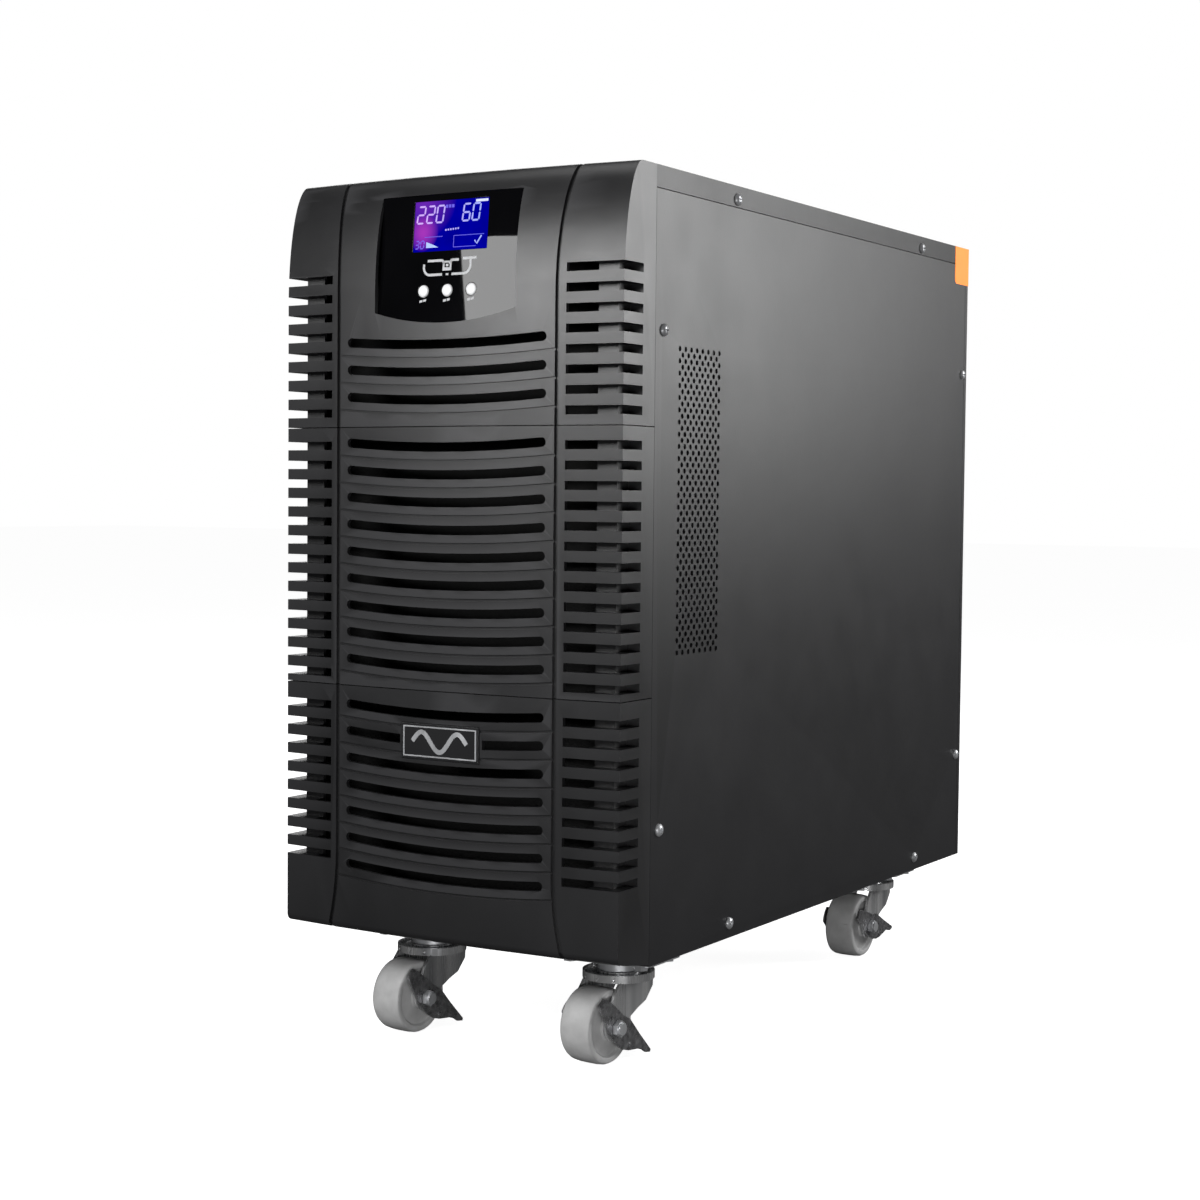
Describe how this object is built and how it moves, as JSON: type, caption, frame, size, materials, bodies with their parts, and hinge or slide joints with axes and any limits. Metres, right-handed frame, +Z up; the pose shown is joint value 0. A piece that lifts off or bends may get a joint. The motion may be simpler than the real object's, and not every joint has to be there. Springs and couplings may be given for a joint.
{
  "type": "uninterruptible power supply",
  "caption": "Tower uninterruptible power supply: black steel cabinet with a louvred front bezel, small lit display, push buttons, rear fans and terminals, on braked swivel casters.",
  "frame": {"origin": "on the floor under the middle of the unit's overall box", "axes": "+Z up, the louvred front faces -Y, +X is to the right when facing the front"},
  "size_m": [0.2648, 0.5818, 0.575],
  "materials": {
    "bezel_plastic": "fine moulded texture",
    "lens_black": "polished",
    "lcd_blue": "backlit",
    "pcb_green": "solder mask",
    "badge_plate": "satin",
    "button_white": "satin",
    "painted_sheet": "powder coat",
    "zinc_steel": "zinc plated",
    "seal_orange": "film",
    "galvanised": "galvanised",
    "battery_case": "moulded",
    "copper_strap": "tinned",
    "aluminium_fins": "extruded",
    "winding": "enamelled",
    "sleeve_blue": "shrink sleeve",
    "cable_grey": "ribbon",
    "fan_plastic": "moulded",
    "switch_black": "moulded",
    "brass_stud": "bright",
    "port_shell": "nickel",
    "tyre_grey": "moulded",
    "brake_steel": "blackened"
  },
  "bodies": {
    "cabinet": {"bezel_top": "bezel_plastic", "bezel_middle": "bezel_plastic", "bezel_bottom": "bezel_plastic", "display_lens": "lens_black", "lcd_module": "lcd_blue", "display_board": "pcb_green", "badge": "badge_plate", "top_cover": "painted_sheet", "side_panel_left": "painted_sheet", "side_panel_right": "painted_sheet", "rear_panel": "painted_sheet", "base_plate": "painted_sheet", "front_frame": "painted_sheet", "cover_screws": "zinc_steel", "seal_label": "seal_orange", "battery_shelf": "galvanised", "battery_set_lower": "battery_case", "battery_set_upper": "battery_case", "battery_links": "copper_strap", "electronics_shelf": "galvanised", "power_board": "pcb_green", "heatsinks": "aluminium_fins", "inductors": "winding", "capacitors": "sleeve_blue", "control_board": "pcb_green", "ribbon_cable": "cable_grey", "fan_frames": "fan_plastic", "fan_guards": "zinc_steel", "breaker_body": "switch_black", "bypass_switch_body": "switch_black", "terminal_block": "switch_black", "terminal_cover": "painted_sheet", "ground_stud": "brass_stud", "signal_ports": "port_shell", "slot_cover": "painted_sheet", "caster_plates": "zinc_steel", "caster_bolts": "zinc_steel"},
    "breaker_toggle": {"breaker_toggle": "switch_black"},
    "button_left": {"button_left": "button_white"},
    "button_middle": {"button_middle": "button_white"},
    "button_right": {"button_right": "button_white"},
    "bypass_knob": {"bypass_knob": "switch_black"},
    "fan_rotor_left": {"fan_rotor_left": "fan_plastic"},
    "fan_rotor_right": {"fan_rotor_right": "fan_plastic"},
    "fork_fl": {"fork_fl": "zinc_steel", "axle_fl": "zinc_steel"},
    "wheel_fl": {"wheel_fl": "tyre_grey"},
    "pedal_fl": {"pedal_fl": "brake_steel"},
    "fork_fr": {"fork_fr": "zinc_steel", "axle_fr": "zinc_steel"},
    "wheel_fr": {"wheel_fr": "tyre_grey"},
    "pedal_fr": {"pedal_fr": "brake_steel"},
    "fork_rl": {"fork_rl": "zinc_steel", "axle_rl": "zinc_steel"},
    "wheel_rl": {"wheel_rl": "tyre_grey"},
    "pedal_rl": {"pedal_rl": "brake_steel"},
    "fork_rr": {"fork_rr": "zinc_steel", "axle_rr": "zinc_steel"},
    "wheel_rr": {"wheel_rr": "tyre_grey"},
    "pedal_rr": {"pedal_rr": "brake_steel"}
  },
  "joints": [
    {"name": "press_left", "type": "slide", "parent": "cabinet", "child": "button_left", "axis": [0, 0.9964, -0.0849], "range_m": [0, 0.001], "stiffness_N_per_m": 400, "springref_m": -0.0005},
    {"name": "press_middle", "type": "slide", "parent": "cabinet", "child": "button_middle", "axis": [0, 0.9964, -0.0849], "range_m": [0, 0.001], "stiffness_N_per_m": 400, "springref_m": -0.0005},
    {"name": "press_right", "type": "slide", "parent": "cabinet", "child": "button_right", "axis": [0, 0.9964, -0.0849], "range_m": [0, 0.001], "stiffness_N_per_m": 400, "springref_m": -0.0005},
    {"name": "fan_spin_left", "type": "hinge", "parent": "cabinet", "child": "fan_rotor_left", "pos_m": [0.054, 0.2549, 0.499], "axis": [0, 1, 0], "continuous": true},
    {"name": "fan_spin_right", "type": "hinge", "parent": "cabinet", "child": "fan_rotor_right", "pos_m": [-0.054, 0.2549, 0.499], "axis": [0, 1, 0], "continuous": true},
    {"name": "breaker_throw", "type": "hinge", "parent": "cabinet", "child": "breaker_toggle", "pos_m": [-0.088, 0.2649, 0.41], "axis": [1, 0, 0], "range_deg": [0, 50]},
    {"name": "bypass_turn", "type": "hinge", "parent": "cabinet", "child": "bypass_knob", "pos_m": [-0.03, 0.2718, 0.41], "axis": [0, 1, 0], "range_deg": [0, 90]},
    {"name": "swivel_fl", "type": "hinge", "parent": "cabinet", "child": "fork_fl", "pos_m": [-0.076, -0.1921, 0.06], "axis": [0, 0, 1], "continuous": true},
    {"name": "roll_fl", "type": "hinge", "parent": "fork_fl", "child": "wheel_fl", "pos_m": [-0.07818, -0.217, 0.025], "axis": [0.9962, -0.0872, 0], "continuous": true},
    {"name": "brake_fl", "type": "hinge", "parent": "fork_fl", "child": "pedal_fl", "pos_m": [-0.07818, -0.217, 0.025], "axis": [0.9962, -0.0872, 0], "range_deg": [0, 20]},
    {"name": "swivel_fr", "type": "hinge", "parent": "cabinet", "child": "fork_fr", "pos_m": [0.076, -0.1921, 0.06], "axis": [0, 0, 1], "continuous": true},
    {"name": "roll_fr", "type": "hinge", "parent": "fork_fr", "child": "wheel_fr", "pos_m": [0.07382, -0.217, 0.025], "axis": [0.9962, -0.0872, 0], "continuous": true},
    {"name": "brake_fr", "type": "hinge", "parent": "fork_fr", "child": "pedal_fr", "pos_m": [0.07382, -0.217, 0.025], "axis": [0.9962, -0.0872, 0], "range_deg": [0, 20]},
    {"name": "swivel_rl", "type": "hinge", "parent": "cabinet", "child": "fork_rl", "pos_m": [-0.076, 0.2009, 0.06], "axis": [0, 0, 1], "continuous": true},
    {"name": "roll_rl", "type": "hinge", "parent": "fork_rl", "child": "wheel_rl", "pos_m": [-0.076, 0.1759, 0.025], "axis": [1, 0, 0], "continuous": true},
    {"name": "brake_rl", "type": "hinge", "parent": "fork_rl", "child": "pedal_rl", "pos_m": [-0.076, 0.1759, 0.025], "axis": [1, 0, 0], "range_deg": [-20, 0]},
    {"name": "swivel_rr", "type": "hinge", "parent": "cabinet", "child": "fork_rr", "pos_m": [0.076, 0.2009, 0.06], "axis": [0, 0, 1], "continuous": true},
    {"name": "roll_rr", "type": "hinge", "parent": "fork_rr", "child": "wheel_rr", "pos_m": [0.076, 0.1759, 0.025], "axis": [1, 0, 0], "continuous": true},
    {"name": "brake_rr", "type": "hinge", "parent": "fork_rr", "child": "pedal_rr", "pos_m": [0.076, 0.1759, 0.025], "axis": [1, 0, 0], "range_deg": [-20, 0]}
  ]
}
